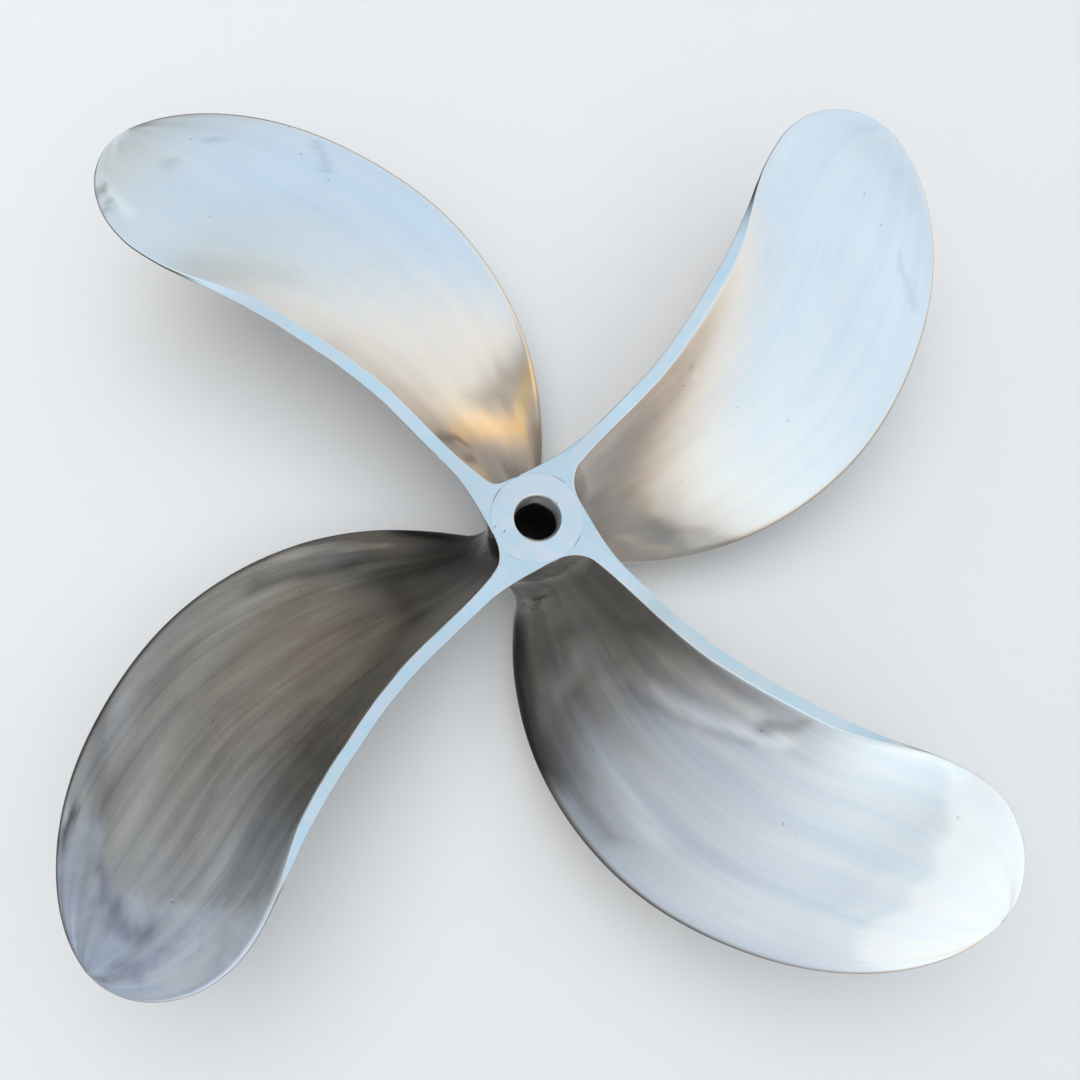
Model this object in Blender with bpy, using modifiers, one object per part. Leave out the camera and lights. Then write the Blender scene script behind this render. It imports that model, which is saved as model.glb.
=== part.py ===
"""Four-bladed boat propeller, 508 mm across, fabricated in stainless steel.

A turned boss with a plain through bore carries four skewed, raked blades. Each blade is lofted through
sections laid on cylinders about the shaft, and two dressed root welds join it to the boss.
The shaft lies along Z with the aft face up, and the origin is the middle of the boss's forward face.
"""

import math

import bmesh
import bpy
import numpy as np
from mathutils import Matrix

# Driving dimensions, in metres
DIAMETER = 0.508
BLADE_COUNT = 4
BOSS_DIAMETER = 0.042
BOSS_LENGTH = 0.075
BORE_DIAMETER = 0.020
BORE_CHAMFER = 0.0014
AFT_EDGE_CHAMFER = 0.0004
FORWARD_EDGE_CHAMFER = 0.0025
GAP = 0.0003  # clearance between neighbouring pieces

TIP_RADIUS = DIAMETER / 2
BOSS_RADIUS = BOSS_DIAMETER / 2
BORE_RADIUS = BORE_DIAMETER / 2
SEAT_RADIUS = BOSS_RADIUS + GAP  # where blades and welds end, just clear of the boss
INSIDE_RADIUS = 0.8 * BOSS_RADIUS  # where their lofts start, before they are cut back to the seat

# Offsets of the blade at its design stations. Lengths are shares of the tip radius:
# radius, width factor, angle of mid-chord (degrees), height of mid-chord from the aft face,
# helix advance for each radian of turn
STATIONS = np.array([
    (0.083, 0.127, 27.0, -0.125, 0.170),
    (0.20, 0.261, 24.9, -0.108, 0.187),
    (0.35, 0.417, 25.6, -0.080, 0.201),
    (0.50, 0.590, 29.7, -0.049, 0.207),
    (0.65, 0.783, 34.9, -0.017, 0.208),
    (0.80, 1.024, 41.1, 0.020, 0.214),
    (0.90, 1.190, 44.4, 0.051, 0.240),
    (1.00, 1.283, 46.7, 0.069, 0.270),
])
FLUSH_UNTIL = 0.17  # inside this share of the tip radius the trailing edge is level with the aft face
RAKED_FROM = 0.30

# Section thicknesses at the boss and at the tip
EDGE_THICKNESS = (0.0055, 0.0012)
EDGE_FALL = 2.4  # how fast the trailing edge thins outwards
BACK_THICKNESS = (0.0080, 0.0007)
BACK_FALL = 1.2
LEADING_THICKNESS = (0.0026, 0.0012)
HOLLOW_DEPTH = 0.35  # depth of the hollow beside the trailing edge, as a share of the edge's thickness
HOLLOW_FROM_EDGE = 0.12  # where the hollow is deepest, as a share of the chord
LEVEL_CUT_UNTIL = 0.60  # the trailing edge is cut level out to here, and square to the blade past SQUARE_CUT_FROM
SQUARE_CUT_FROM = 0.79

# Root welds, dressed to a small fillet on the working face and a long one on the back: how much of the
# space to the next blade the fillet takes at the boss, the radius where it would run out to nothing on
# the blade, and the radius where the bead ends, while it is still about 1 mm thick
WELDS = {
    "face": {"word": "pressure", "share": 0.34, "toe": 0.033, "outer": 0.0275},
    "back": {"word": "suction", "share": 0.60, "toe": 0.052, "outer": 0.0400},
}
WELD_END = 0.95  # share of the chord where the beads stop, short of the leading edge

# Mesh density
ROUND_STEPS = 64
WELD_ROWS = {"face": 4, "back": 3}  # rows to the end of the short bead, and on to the end of the long one
INNER_ROWS = 13
TIP_ROWS = 8
CHORD_STEPS = 12

STEEL = (0.74, 0.76, 0.79, 1.0)
TURNED_STEEL = (0.70, 0.74, 0.78, 1.0)
WELD_STEEL = (0.62, 0.64, 0.66, 1.0)


def clear_scene():
    for obj in list(bpy.data.objects):
        bpy.data.objects.remove(obj, do_unlink=True)


def new_collection(name):
    collection = bpy.data.collections.new(name)
    bpy.context.scene.collection.children.link(collection)
    return collection


def metal(name, color, roughness):
    material = bpy.data.materials.new(name)
    material.use_nodes = True
    shader = material.node_tree.nodes["Principled BSDF"]
    shader.inputs["Base Color"].default_value = color
    shader.inputs["Metallic"].default_value = 1.0
    shader.inputs["Roughness"].default_value = roughness
    return material


# Blade surface


def cubic_slopes(x, y):
    """Second derivatives of the natural cubic curve through the points (x, y)."""
    count = len(x)
    matrix = np.eye(count)
    right = np.zeros(count)
    for i in range(1, count - 1):
        before = x[i] - x[i - 1]
        after = x[i + 1] - x[i]
        matrix[i, i - 1 : i + 2] = before, 2 * (before + after), after
        right[i] = 6 * ((y[i + 1] - y[i]) / after - (y[i] - y[i - 1]) / before)
    return np.linalg.solve(matrix, right)


STATION_SLOPES = [cubic_slopes(STATIONS[:, 0], column) for column in STATIONS.T[1:]]


def station_values(share):
    """Width factor, mid-chord angle, mid-chord height and advance at a share of the tip radius."""
    x = STATIONS[:, 0]
    share = min(max(share, x[0]), x[-1])
    i = min(max(int(np.searchsorted(x, share)) - 1, 0), len(x) - 2)
    span = x[i + 1] - x[i]
    a = (x[i + 1] - share) / span
    b = (share - x[i]) / span
    values = []
    for column, slopes in zip(STATIONS.T[1:], STATION_SLOPES):
        bend = ((a**3 - a) * slopes[i] + (b**3 - b) * slopes[i + 1]) * span**2 / 6
        values.append(a * column[i] + b * column[i + 1] + bend)
    return values


def smooth_step(low, high, value):
    t = min(max((value - low) / (high - low), 0.0), 1.0)
    return t * t * (3 - 2 * t)


def between(limits, share, power=1.0):
    """A thickness that falls from the boss to the tip."""
    outward = (min(max(share, 0.0), 1.0) - STATIONS[0, 0]) / (1 - STATIONS[0, 0])
    return limits[1] + (limits[0] - limits[1]) * (1 - max(outward, 0.0)) ** power


class Section:
    """The blade's section on the cylinder of one radius.

    Around the cylinder, u runs from the trailing edge towards the leading edge, and z runs aft.
    """

    def __init__(self, radius):
        self.radius = radius
        share = radius / TIP_RADIUS
        held = max(share, STATIONS[0, 0])
        factor, angle, height, advance = station_values(share)
        half_turn = factor * math.sqrt(1 - held) / held / 2
        edge_height = (height + advance * half_turn) * smooth_step(FLUSH_UNTIL, RAKED_FROM, share)
        self.edge_angle = math.radians(angle) + half_turn
        self.edge_z = BOSS_LENGTH + TIP_RADIUS * edge_height
        width = 2 * half_turn * held * TIP_RADIUS
        drop = 2 * half_turn * advance * TIP_RADIUS
        self.chord = math.hypot(width, drop)
        self.cos = width / self.chord
        self.sin = drop / self.chord
        self.edge = between(EDGE_THICKNESS, share, EDGE_FALL)
        self.back = between(BACK_THICKNESS, share, BACK_FALL)
        self.nose = between(LEADING_THICKNESS, share)
        self.nose_from = 1 - min(0.5, 2 * self.nose / self.chord)
        level = 1 - smooth_step(LEVEL_CUT_UNTIL, SQUARE_CUT_FROM, share)
        self.face_from = level * self.edge * self.cos / self.sin / self.chord

    def nose_curve(self, along):
        past = max(0.0, (along - self.nose_from) / (1 - self.nose_from))
        return math.sqrt(max(0.0, 1 - past * past))

    def point(self, side, along, shift=0.0):
        """A point on the 'face' (aft) or 'back' (forward) side, shifted round the shaft away from the blade."""
        if side == "face":
            position = self.face_from + along * (1 - self.face_from)
            out = along / HOLLOW_FROM_EDGE
            hollow = HOLLOW_DEPTH * self.edge * out * math.exp(1 - out)
            rise = (self.edge * (1 - along) + self.nose / 2 * along - hollow) * self.nose_curve(along)
        else:
            position = along
            bulge = self.back * along**1.4 * (1 - along) / 0.19
            rise = -(bulge + self.nose / 2 * along) * self.nose_curve(along)
            shift = -shift
        u = position * self.chord * self.cos + rise * self.sin + shift
        z = self.edge_z - position * self.chord * self.sin + rise * self.cos
        turn = self.edge_angle - u / max(self.radius, SEAT_RADIUS)
        return (self.radius * math.cos(turn), self.radius * math.sin(turn), z)


def chord_shares(count):
    """Shares of the chord, closer together at the trailing edge's hollow and at the rounded leading edge."""
    return [1 - (1 - (i / count) ** 1.2) ** 1.8 for i in range(count + 1)]


def root_radii(side):
    """Radii of the sections from the boss to the outer end of one side's root weld."""
    short = WELDS["face"]["outer"]
    width = short - SEAT_RADIUS
    radii = [SEAT_RADIUS + width * (i / WELD_ROWS["face"]) ** 1.4 for i in range(WELD_ROWS["face"] + 1)]
    if side == "back":
        step = (WELDS["back"]["outer"] - short) / WELD_ROWS["back"]
        radii += [short + step * i for i in range(1, WELD_ROWS["back"] + 1)]
    return radii


def blade_radii():
    """Radii of all the blade's sections, starting inside the boss and closing in on the round tip."""
    straight = 0.80 * TIP_RADIUS
    radii = [INSIDE_RADIUS] + root_radii("back")
    step = (straight - radii[-1]) / INNER_ROWS
    radii += [radii[-1] + step * i for i in range(1, INNER_ROWS)]
    for i in range(TIP_ROWS + 1):
        closing = math.cos(math.radians(88.5) * i / TIP_ROWS)
        radii.append(TIP_RADIUS - (TIP_RADIUS - straight) * closing**2)
    return radii


def loft(name, loops, collection):
    """A closed solid skinned over loops of equal length, with both ends capped."""
    shape = bmesh.new()
    rings = [[shape.verts.new(point) for point in loop] for loop in loops]
    count = len(rings[0])
    for ring, following in zip(rings, rings[1:]):
        for i in range(count):
            j = (i + 1) % count
            shape.faces.new((ring[i], ring[j], following[j], following[i]))
    shape.faces.new(rings[0])
    shape.faces.new(rings[-1])
    bmesh.ops.recalc_face_normals(shape, faces=shape.faces)
    mesh = bpy.data.meshes.new(name)
    shape.to_mesh(mesh)
    shape.free()
    obj = bpy.data.objects.new(name, mesh)
    collection.objects.link(obj)
    return obj


def blade_loop(radius):
    section = Section(radius)
    shares = chord_shares(CHORD_STEPS)
    face = [section.point("face", share) for share in shares]
    back = [section.point("back", share) for share in shares[:-1]]
    return face + back[::-1]


# Root welds


def weld_reach(side, radius, along):
    """How far the dressed fillet stands off the blade, round the shaft.

    It is a quarter ellipse that leaves the boss tangentially and runs out along the blade.
    """
    weld = WELDS[side]
    outward = min(max((radius - BOSS_RADIUS) / (weld["toe"] - BOSS_RADIUS), 0.0), 1.0)
    section = Section(BOSS_RADIUS)
    face = section.point("face", along)
    back = section.point("back", along)
    thickness = BOSS_RADIUS * math.acos((face[0] * back[0] + face[1] * back[1]) / BOSS_RADIUS**2)
    space = BOSS_RADIUS * 2 * math.pi / BLADE_COUNT - thickness
    return weld["share"] * space * (1 - math.sqrt(1 - (1 - outward) ** 2))


def weld_loop(side, along):
    """The fillet's outline at one share of the chord: out along the blade, and back along the fillet."""
    radii = root_radii(side)
    against_blade = [Section(radius).point(side, along, GAP * 1.4) for radius in [INSIDE_RADIUS] + radii]
    fillet = [Section(radius).point(side, along, weld_reach(side, radius, along)) for radius in radii]
    closing = Section(INSIDE_RADIUS).point(side, along, weld_reach(side, SEAT_RADIUS, along))
    return against_blade + fillet[::-1] + [closing]


# Pieces


def seat_cutter(collection):
    """The cylinder that blade and weld roots are cut back to."""
    bpy.ops.mesh.primitive_cylinder_add(
        vertices=ROUND_STEPS,
        radius=SEAT_RADIUS,
        depth=3 * BOSS_LENGTH,
        location=(0, 0, BOSS_LENGTH / 2),
    )
    cutter = bpy.context.object
    cutter.name = "seat_cutter"
    for owner in list(cutter.users_collection):
        owner.objects.unlink(cutter)
    collection.objects.link(cutter)
    cutter.hide_render = True
    cutter.display_type = "WIRE"
    return cutter


def cut_to_seat(obj, cutter):
    cut = obj.modifiers.new("Boss seat", "BOOLEAN")
    cut.operation = "DIFFERENCE"
    cut.solver = "EXACT"
    cut.object = cutter


def shade(obj):
    obj.data.shade_smooth()
    obj.data.set_sharp_from_angle(angle=math.radians(35))


def boss(collection, material):
    """The turned boss: a half profile spun round the shaft."""
    outer = BOSS_RADIUS
    profile = [
        (BORE_RADIUS + BORE_CHAMFER, BOSS_LENGTH),
        (outer - AFT_EDGE_CHAMFER, BOSS_LENGTH),
        (outer, BOSS_LENGTH - AFT_EDGE_CHAMFER),
        (outer, FORWARD_EDGE_CHAMFER),
        (outer - FORWARD_EDGE_CHAMFER, 0.0),
        (BORE_RADIUS + BORE_CHAMFER, 0.0),
        (BORE_RADIUS, BORE_CHAMFER),
        (BORE_RADIUS, BOSS_LENGTH - BORE_CHAMFER),
    ]
    mesh = bpy.data.meshes.new("hub_boss")
    edges = [(i, (i + 1) % len(profile)) for i in range(len(profile))]
    mesh.from_pydata([(radius, 0.0, z) for radius, z in profile], edges, [])
    obj = bpy.data.objects.new("hub_boss", mesh)
    obj.data.materials.append(material)
    collection.objects.link(obj)
    spin = obj.modifiers.new("Turn", "SCREW")
    spin.steps = ROUND_STEPS
    spin.render_steps = ROUND_STEPS
    spin.use_smooth_shade = False
    spin.use_merge_vertices = True
    spin.merge_threshold = 0.00005
    return obj


def place_copies(first, name, collection, cutter):
    """The same piece at each blade: the first stays, and the others share its mesh."""
    for number in range(1, BLADE_COUNT + 1):
        obj = first
        if number > 1:
            obj = bpy.data.objects.new(name.format(number), first.data)
            collection.objects.link(obj)
            obj.matrix_world = Matrix.Rotation(2 * math.pi * (number - 1) / BLADE_COUNT, 4, "Z")
        cut_to_seat(obj, cutter)


def blades(collection, material, cutter):
    first = loft("blade_1", [blade_loop(radius) for radius in blade_radii()], collection)
    first.data.materials.append(material)
    shade(first)
    place_copies(first, "blade_{}", collection, cutter)


def welds(collection, material, cutter):
    shares = [share for share in chord_shares(CHORD_STEPS) if share < WELD_END]
    for side, weld in WELDS.items():
        word = weld["word"]
        first = loft(f"blade_1_{word}_weld", [weld_loop(side, share) for share in shares], collection)
        first.data.materials.append(material)
        shade(first)
        place_copies(first, "blade_{}_" + word + "_weld", collection, cutter)


def main():
    clear_scene()
    parts = new_collection("boat_propeller")
    cutters = new_collection("cutters")
    cutter = seat_cutter(cutters)
    boss(parts, metal("turned_steel", TURNED_STEEL, 0.30))
    blades(parts, metal("polished_steel", STEEL, 0.22), cutter)
    welds(parts, metal("weld_steel", WELD_STEEL, 0.38), cutter)


main()
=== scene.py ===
"""Looks of the four-bladed boat propeller: hand-ground stainless steel on a pale floor.

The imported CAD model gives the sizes. Each of its pieces is rebuilt here at a finer pitch, with rounded
edges, hand-ground unevenness, dents and pits, and with a procedural steel for its own finish.
"""

import math

import bpy
import numpy as np
from mathutils import Matrix, Vector


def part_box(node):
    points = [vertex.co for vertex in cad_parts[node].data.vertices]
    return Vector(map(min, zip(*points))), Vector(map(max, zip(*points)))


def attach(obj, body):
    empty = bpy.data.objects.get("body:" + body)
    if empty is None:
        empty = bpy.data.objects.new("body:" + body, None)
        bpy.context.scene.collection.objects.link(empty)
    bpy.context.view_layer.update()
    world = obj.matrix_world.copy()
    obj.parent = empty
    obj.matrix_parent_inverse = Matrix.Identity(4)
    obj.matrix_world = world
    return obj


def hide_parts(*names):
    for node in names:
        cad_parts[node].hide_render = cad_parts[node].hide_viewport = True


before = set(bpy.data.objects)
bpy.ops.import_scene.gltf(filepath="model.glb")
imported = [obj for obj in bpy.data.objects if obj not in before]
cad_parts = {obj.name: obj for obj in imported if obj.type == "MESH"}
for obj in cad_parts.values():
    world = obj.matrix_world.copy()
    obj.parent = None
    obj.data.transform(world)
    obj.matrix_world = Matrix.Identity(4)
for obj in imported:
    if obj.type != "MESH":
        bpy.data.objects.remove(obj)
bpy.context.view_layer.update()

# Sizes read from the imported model, in metres


def node_radii(name):
    """Distances of a CAD node's vertices from the shaft axis."""
    points = np.array([vertex.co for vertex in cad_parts[name].data.vertices])
    return np.hypot(points[:, 0], points[:, 1])


BOSS_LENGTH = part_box("hub_boss")[1].z
BOSS_RADIUS = float(node_radii("hub_boss").max())
BORE_RADIUS = float(node_radii("hub_boss").min())
TIP_RADIUS = float(node_radii("blade_1").max())
BLADE_COUNT = sum(name.startswith("blade_") and name[6:].isdigit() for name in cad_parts)

# Blade offsets. Lengths are shares of the tip radius: radius, width factor, angle of mid-chord
# (degrees), height of mid-chord from the aft face, helix advance for each radian of turn
STATIONS = np.array([
    (0.083, 0.127, 27.0, -0.125, 0.170),
    (0.20, 0.261, 24.9, -0.108, 0.187),
    (0.35, 0.417, 25.6, -0.080, 0.201),
    (0.50, 0.590, 29.7, -0.049, 0.207),
    (0.65, 0.783, 34.9, -0.017, 0.208),
    (0.80, 1.024, 41.1, 0.020, 0.214),
    (0.90, 1.190, 44.4, 0.051, 0.240),
    (1.00, 1.283, 46.7, 0.069, 0.270),
])
# Shares of the tip radius: the trailing edge is flush with the aft face up to one, and raked from the other
FLUSH_UNTIL = 0.17
RAKED_FROM = 0.30
# Thicknesses in metres at the root and at the tip, and how fast each falls from one to the other
EDGE_THICKNESS = (0.0055, 0.0012)
EDGE_FALL = 2.4
BACK_THICKNESS = (0.0080, 0.0007)
BACK_FALL = 1.2
LEADING_THICKNESS = (0.0026, 0.0012)
NOSE_AT_MOST = 0.5  # share of the chord that the rounded leading edge may take
# The back bulges by along**BULGE_POWER * (1 - along), whose peak is about BULGE_PEAK
BULGE_POWER = 1.4
BULGE_PEAK = 0.19
# How far each blade turns up towards its trailing edge, in degrees, and over what width in metres. It starts
# and fades between shares of the tip radius, and flattens between shares of the chord
UPTURN = {1: 12.0, 2: 4.0, 3: 8.0, 4: 9.0}
UPTURN_WIDTH = 0.016
UPTURN_STARTS = (0.10, 0.20)
UPTURN_FADES = (0.45, 0.85)
UPTURN_FLATTENS = (0.15, 1.0)
# Shares of the tip radius: the trailing edge is cut level up to the first, and square from the second
LEVEL_CUT_UNTIL = 0.60
SQUARE_CUT_FROM = 0.79

# Root welds: share of the space between blades that a fillet takes at the boss, and where it runs out
WELDS = {
    "face": {"word": "pressure", "share": 0.34, "toe": 0.033},
    "back": {"word": "suction", "share": 0.60, "toe": 0.052},
}
SHORT_TOES = {(2, "face"): 0.027}  # the one fillet that was dressed to a tight corner
WELD_FADES = (0.86, 0.98)  # shares of the chord between which the beads sink into the leading edge
WELD_LENGTH = 0.985  # share of the chord at which they end
TOP_STEP = 0.00003  # how far the beads' ground tops lie under the trailing edge's
BEAD_SINK = 0.00004  # how far their thin edges sink under the blade's surface
BEAD_DEPTH = 0.0003  # how far they run into the blade, and the most of its thickness that they may take
BEAD_DEPTH_SHARE = 0.25
BEAD_RIPPLE = 0.00045  # height of their unevenness, its waves along and across them, and where it sets in
BEAD_WAVES = (3.0, 7.0, 12.0)
BEAD_WAVES_ACROSS = 5
BEAD_RIPPLE_STARTS = (0.03, 0.15)
ROOT_INSIDE = 0.0001  # how far blades and beads start inside the boss's surface

# Rounding of the blades' edges in metres, and the most of the edge that it may take. It is less where a bead
# joins, and full past these shares of the radius at which the bead ends
EDGE_ROUNDING = 0.00050
ROUNDING_AT_MOST = 0.36
ROUNDING_UNDER_BEAD = 0.05
ROUNDING_STARTS = (0.8, 1.05)

# Mesh density
CHORD_STEPS = 64
EDGE_STEPS = 6
CORNER_STEPS = 4
INNER_ROWS = 150
TIP_ROWS = 46
WELD_ROWS = 22
WELD_STEPS = 48
BOSS_STEPS = 256
AFT_FACE_STEPS = 26
BOSS_SIDE_STEPS = 12
BORE_STEPS = 30
FLOOR_STEPS = 96
ROWS_CLOSE_FROM = 0.80  # share of the tip radius past which a blade's rows draw together
TIP_TURN = 89.3  # degrees of turn that their spacing follows, short of 90 to leave an end face
BLADE_SPACING = (1.15, 1.8)
WELD_SPACING = (1.1, 1.3)


# Curves


def natural_curve(x, y):
    """The natural cubic curve through the points (x, y), as a function of an array."""
    count = len(x)
    matrix = np.eye(count)
    right = np.zeros(count)
    for i in range(1, count - 1):
        before, after = x[i] - x[i - 1], x[i + 1] - x[i]
        matrix[i, i - 1 : i + 2] = before, 2 * (before + after), after
        right[i] = 6 * ((y[i + 1] - y[i]) / after - (y[i] - y[i - 1]) / before)
    bend = np.linalg.solve(matrix, right)

    def value(at):
        i = np.clip(np.searchsorted(x, at) - 1, 0, count - 2)
        span = x[i + 1] - x[i]
        a, b = (x[i + 1] - at) / span, (at - x[i]) / span
        return a * y[i] + b * y[i + 1] + ((a**3 - a) * bend[i] + (b**3 - b) * bend[i + 1]) * span**2 / 6

    return value


STATION_CURVES = [natural_curve(STATIONS[:, 0], column) for column in STATIONS.T[1:]]


def smooth_step(low, high, value):
    """0 up to low, 1 from high on, and a smooth rise in between."""
    t = np.clip((value - low) / (high - low), 0.0, 1.0)
    return t * t * (3 - 2 * t)


def spaced(steps, powers):
    """Even steps from 0 to 1, drawn together at the start and the end by two powers."""
    return 1 - (1 - steps ** powers[0]) ** powers[1]


def between(limits, share, power=1.0):
    """The first limit at the root, the second at the tip, and a fall of this power in between."""
    outward = (np.clip(share, STATIONS[0, 0], 1.0) - STATIONS[0, 0]) / (1 - STATIONS[0, 0])
    return limits[1] + (limits[0] - limits[1]) * (1 - outward) ** power


class Sections:
    """The blade's sections on the cylinders of several radii, one row for each.

    Around a cylinder, u runs from the trailing edge towards the leading edge, and z runs aft.
    """

    def __init__(self, radii, number):
        self.number = number
        self.radius = np.asarray(radii, float).reshape(-1, 1)
        share = self.radius / TIP_RADIUS
        self.share = share
        held = np.clip(share, STATIONS[0, 0], 1.0)
        factor, angle, height, advance = [curve(held) for curve in STATION_CURVES]
        half_turn = factor * np.sqrt(1 - held) / held / 2
        edge_height = (height + advance * half_turn) * smooth_step(FLUSH_UNTIL, RAKED_FROM, share)
        self.edge_angle = np.radians(angle) + half_turn
        self.edge_z = BOSS_LENGTH + TIP_RADIUS * edge_height
        width = 2 * half_turn * held * TIP_RADIUS
        drop = 2 * half_turn * advance * TIP_RADIUS
        self.chord = np.hypot(width, drop)
        self.cos = width / self.chord
        self.sin = drop / self.chord
        self.edge = between(EDGE_THICKNESS, share, EDGE_FALL)
        self.back = between(BACK_THICKNESS, share, BACK_FALL)
        self.nose = between(LEADING_THICKNESS, share)
        self.nose_from = 1 - np.minimum(NOSE_AT_MOST, 2 * self.nose / self.chord)
        level = 1 - smooth_step(LEVEL_CUT_UNTIL, SQUARE_CUT_FROM, share)
        self.face_from = level * self.edge * self.cos / self.sin / self.chord
        upturn = math.tan(math.radians(UPTURN[number])) * (1 - smooth_step(*UPTURN_FADES, share))
        self.sag = UPTURN_WIDTH * upturn * smooth_step(*UPTURN_STARTS, share)

    def side(self, side, along, relief=0.0):
        """(u, z) of points on the 'face' (aft) or 'back' (forward) side, raised off it by relief."""
        past = np.clip((along - self.nose_from) / (1 - self.nose_from), 0.0, 1.0)
        nose = np.sqrt(1 - past**2)
        flatter = 1 - smooth_step(*UPTURN_FLATTENS, along)
        sag = self.sag * np.tanh(along * self.chord / UPTURN_WIDTH) * flatter
        if side == "face":
            position = self.face_from + along * (1 - self.face_from)
            rise = (self.edge * (1 - along) + self.nose / 2 * along + relief) * nose - sag
        else:
            position = along
            bulge = self.back * along**BULGE_POWER * (1 - along) / BULGE_PEAK
            rise = -(bulge + self.nose / 2 * along + relief) * nose - sag
        u = position * self.chord * self.cos + rise * self.sin
        z = self.edge_z - position * self.chord * self.sin + rise * self.cos
        return np.stack([u, z], axis=-1)

    def placed(self, points):
        """World positions of (u, z) points."""
        turn = self.edge_angle + 2 * math.pi * (self.number - 1) / BLADE_COUNT
        turn = turn - points[..., 0] / self.radius
        return np.stack([self.radius * np.cos(turn), self.radius * np.sin(turn), points[..., 1]], axis=-1)


# Hand-made unevenness

# Low waves left by hand grinding: amplitude in metres, and waves along the span and the chord
WAVES = [
    (0.00012, 1.3, 1.1),
    (0.00006, 1.9, 2.3),
    (0.000025, 2.6, 5.0),
    (0.000010, 3.5, 9.0),
]
RELIEF_STARTS = (0.10, 0.30)  # shares of the tip radius between which they set in and end
RELIEF_ENDS = (0.985, 1.0)
# How far the hand-cut trailing edge strays in metres, in what waves along the span, where it sets in as
# shares of the tip radius, and how far from the edge it reaches in metres
EDGE_WOBBLE = 0.00072
WOBBLE_WAVES = (9, 17, 31)
WOBBLE_STARTS = (0.18, 0.35)
WOBBLE_REACH = 0.006

# Dents on the aft sides: blade, share of the tip radius, share of the chord, radius and depth in metres
DENTS = [
    (2, 0.938, 0.042, 0.0030, 0.00035),
    (2, 0.903, 0.036, 0.0028, 0.00040),
    (2, 0.877, 0.030, 0.0022, 0.00025),
    (2, 0.903, 0.683, 0.0018, 0.00012),
    (2, 0.895, 0.433, 0.0016, 0.00010),
    (1, 0.766, 0.020, 0.0014, 0.00030),
    (1, 0.863, 0.775, 0.0030, 0.00012),
    (1, 0.408, 0.117, 0.0012, 0.00030),
    (1, 0.400, 0.125, 0.0008, 0.00020),
    (1, 0.362, 0.608, 0.0008, 0.00020),
    (1, 0.387, 0.725, 0.0007, 0.00020),
    (1, 0.352, 0.683, 0.0007, 0.00018),
    (3, 0.903, 0.933, 0.0030, 0.00030),
    (3, 0.924, 0.950, 0.0026, 0.00025),
    (4, 0.173, 0.842, 0.0014, 0.00030),
]


def relief(number, side, sections, along):
    """How far hand work and wear raise the surface, in metres."""
    random = np.random.default_rng(10 * number + (side == "back"))
    height = np.zeros(np.broadcast(sections.share, along).shape)
    for amplitude, span_waves, chord_waves in WAVES:
        turn = random.uniform(0, 2 * math.pi)
        lean = random.uniform(0.7, 1.3, 2)
        wave = span_waves * lean[0] * sections.share + chord_waves * lean[1] * along
        height += amplitude * np.sin(2 * math.pi * wave + turn)
    height *= smooth_step(*RELIEF_STARTS, sections.share) * (1 - smooth_step(*RELIEF_ENDS, sections.share))
    for blade, span, chord, radius, depth in DENTS:
        if blade == number and side == "face":
            out = (sections.share - span) * TIP_RADIUS
            across = (along - chord) * sections.chord
            height -= depth * np.exp(-(out**2 + across**2) / radius**2)
    return height


def edge_wobble(number, sections):
    """How far the hand-cut trailing edge strays from its line, row by row."""
    random = np.random.default_rng(100 + number)
    stray = np.zeros(sections.share.shape)
    for waves in WOBBLE_WAVES:
        stray += np.sin(2 * math.pi * (waves * sections.share + random.uniform())) / waves
    return EDGE_WOBBLE * stray * smooth_step(*WOBBLE_STARTS, sections.share)


# Meshes


def grid_faces(rows, columns):
    """Quads over a grid whose rows are closed loops."""
    start = np.arange(rows - 1)[:, None] * columns
    i = start + np.arange(columns)[None, :]
    j = start + (np.arange(columns)[None, :] + 1) % columns
    return np.stack([i, i + columns, j + columns, j], axis=-1).reshape(-1, 4).tolist()


def make_piece(name, points, faces, sharp_sets=()):
    """A closed, smooth-shaded mesh object. An edge is sharp if both its ends are in one of the sharp sets."""
    mesh = bpy.data.meshes.new(name)
    mesh.from_pydata(points.tolist(), [], faces)
    mesh.validate()
    mesh.shade_smooth()
    ends = np.empty(len(mesh.edges) * 2, int)
    mesh.edges.foreach_get("vertices", ends)
    sharp = np.zeros(len(mesh.edges), bool)
    for kept in sharp_sets:
        sharp |= np.isin(ends.reshape(-1, 2), kept).all(axis=1)
    if sharp.any():
        flags = mesh.attributes.new("sharp_edge", "BOOLEAN", "EDGE")
        flags.data.foreach_set("value", sharp)
    obj = bpy.data.objects.new(name, mesh)
    bpy.context.scene.collection.objects.link(obj)
    return obj


def faces_outwards(points, faces):
    """The faces, turned round if the closed mesh they make is inside out."""
    volume = 0.0
    for face in faces:
        a, b, c = points[face[0]], points[face[1]], points[face[2]]
        volume += np.dot(a, np.cross(b, c))
        if len(face) == 4:
            volume += np.dot(a, np.cross(c, points[face[3]]))
    return faces if volume > 0 else [list(reversed(face)) for face in faces]


def store(obj, name, values):
    """Keeps one number or three for each vertex, for the materials to read."""
    values = np.asarray(values, np.float32)
    wide = values.ndim == 2
    layer = obj.data.attributes.new(name, "FLOAT_VECTOR" if wide else "FLOAT", "POINT")
    layer.data.foreach_set("vector" if wide else "value", values.ravel())


def bend_round(first, corner, last, steps):
    """Points inside the round that joins two lines at their corner."""
    t = (np.arange(1, steps) / steps).reshape(1, -1, 1)
    return (1 - t) ** 2 * first[:, None] + 2 * t * (1 - t) * corner[:, None] + t**2 * last[:, None]


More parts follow.
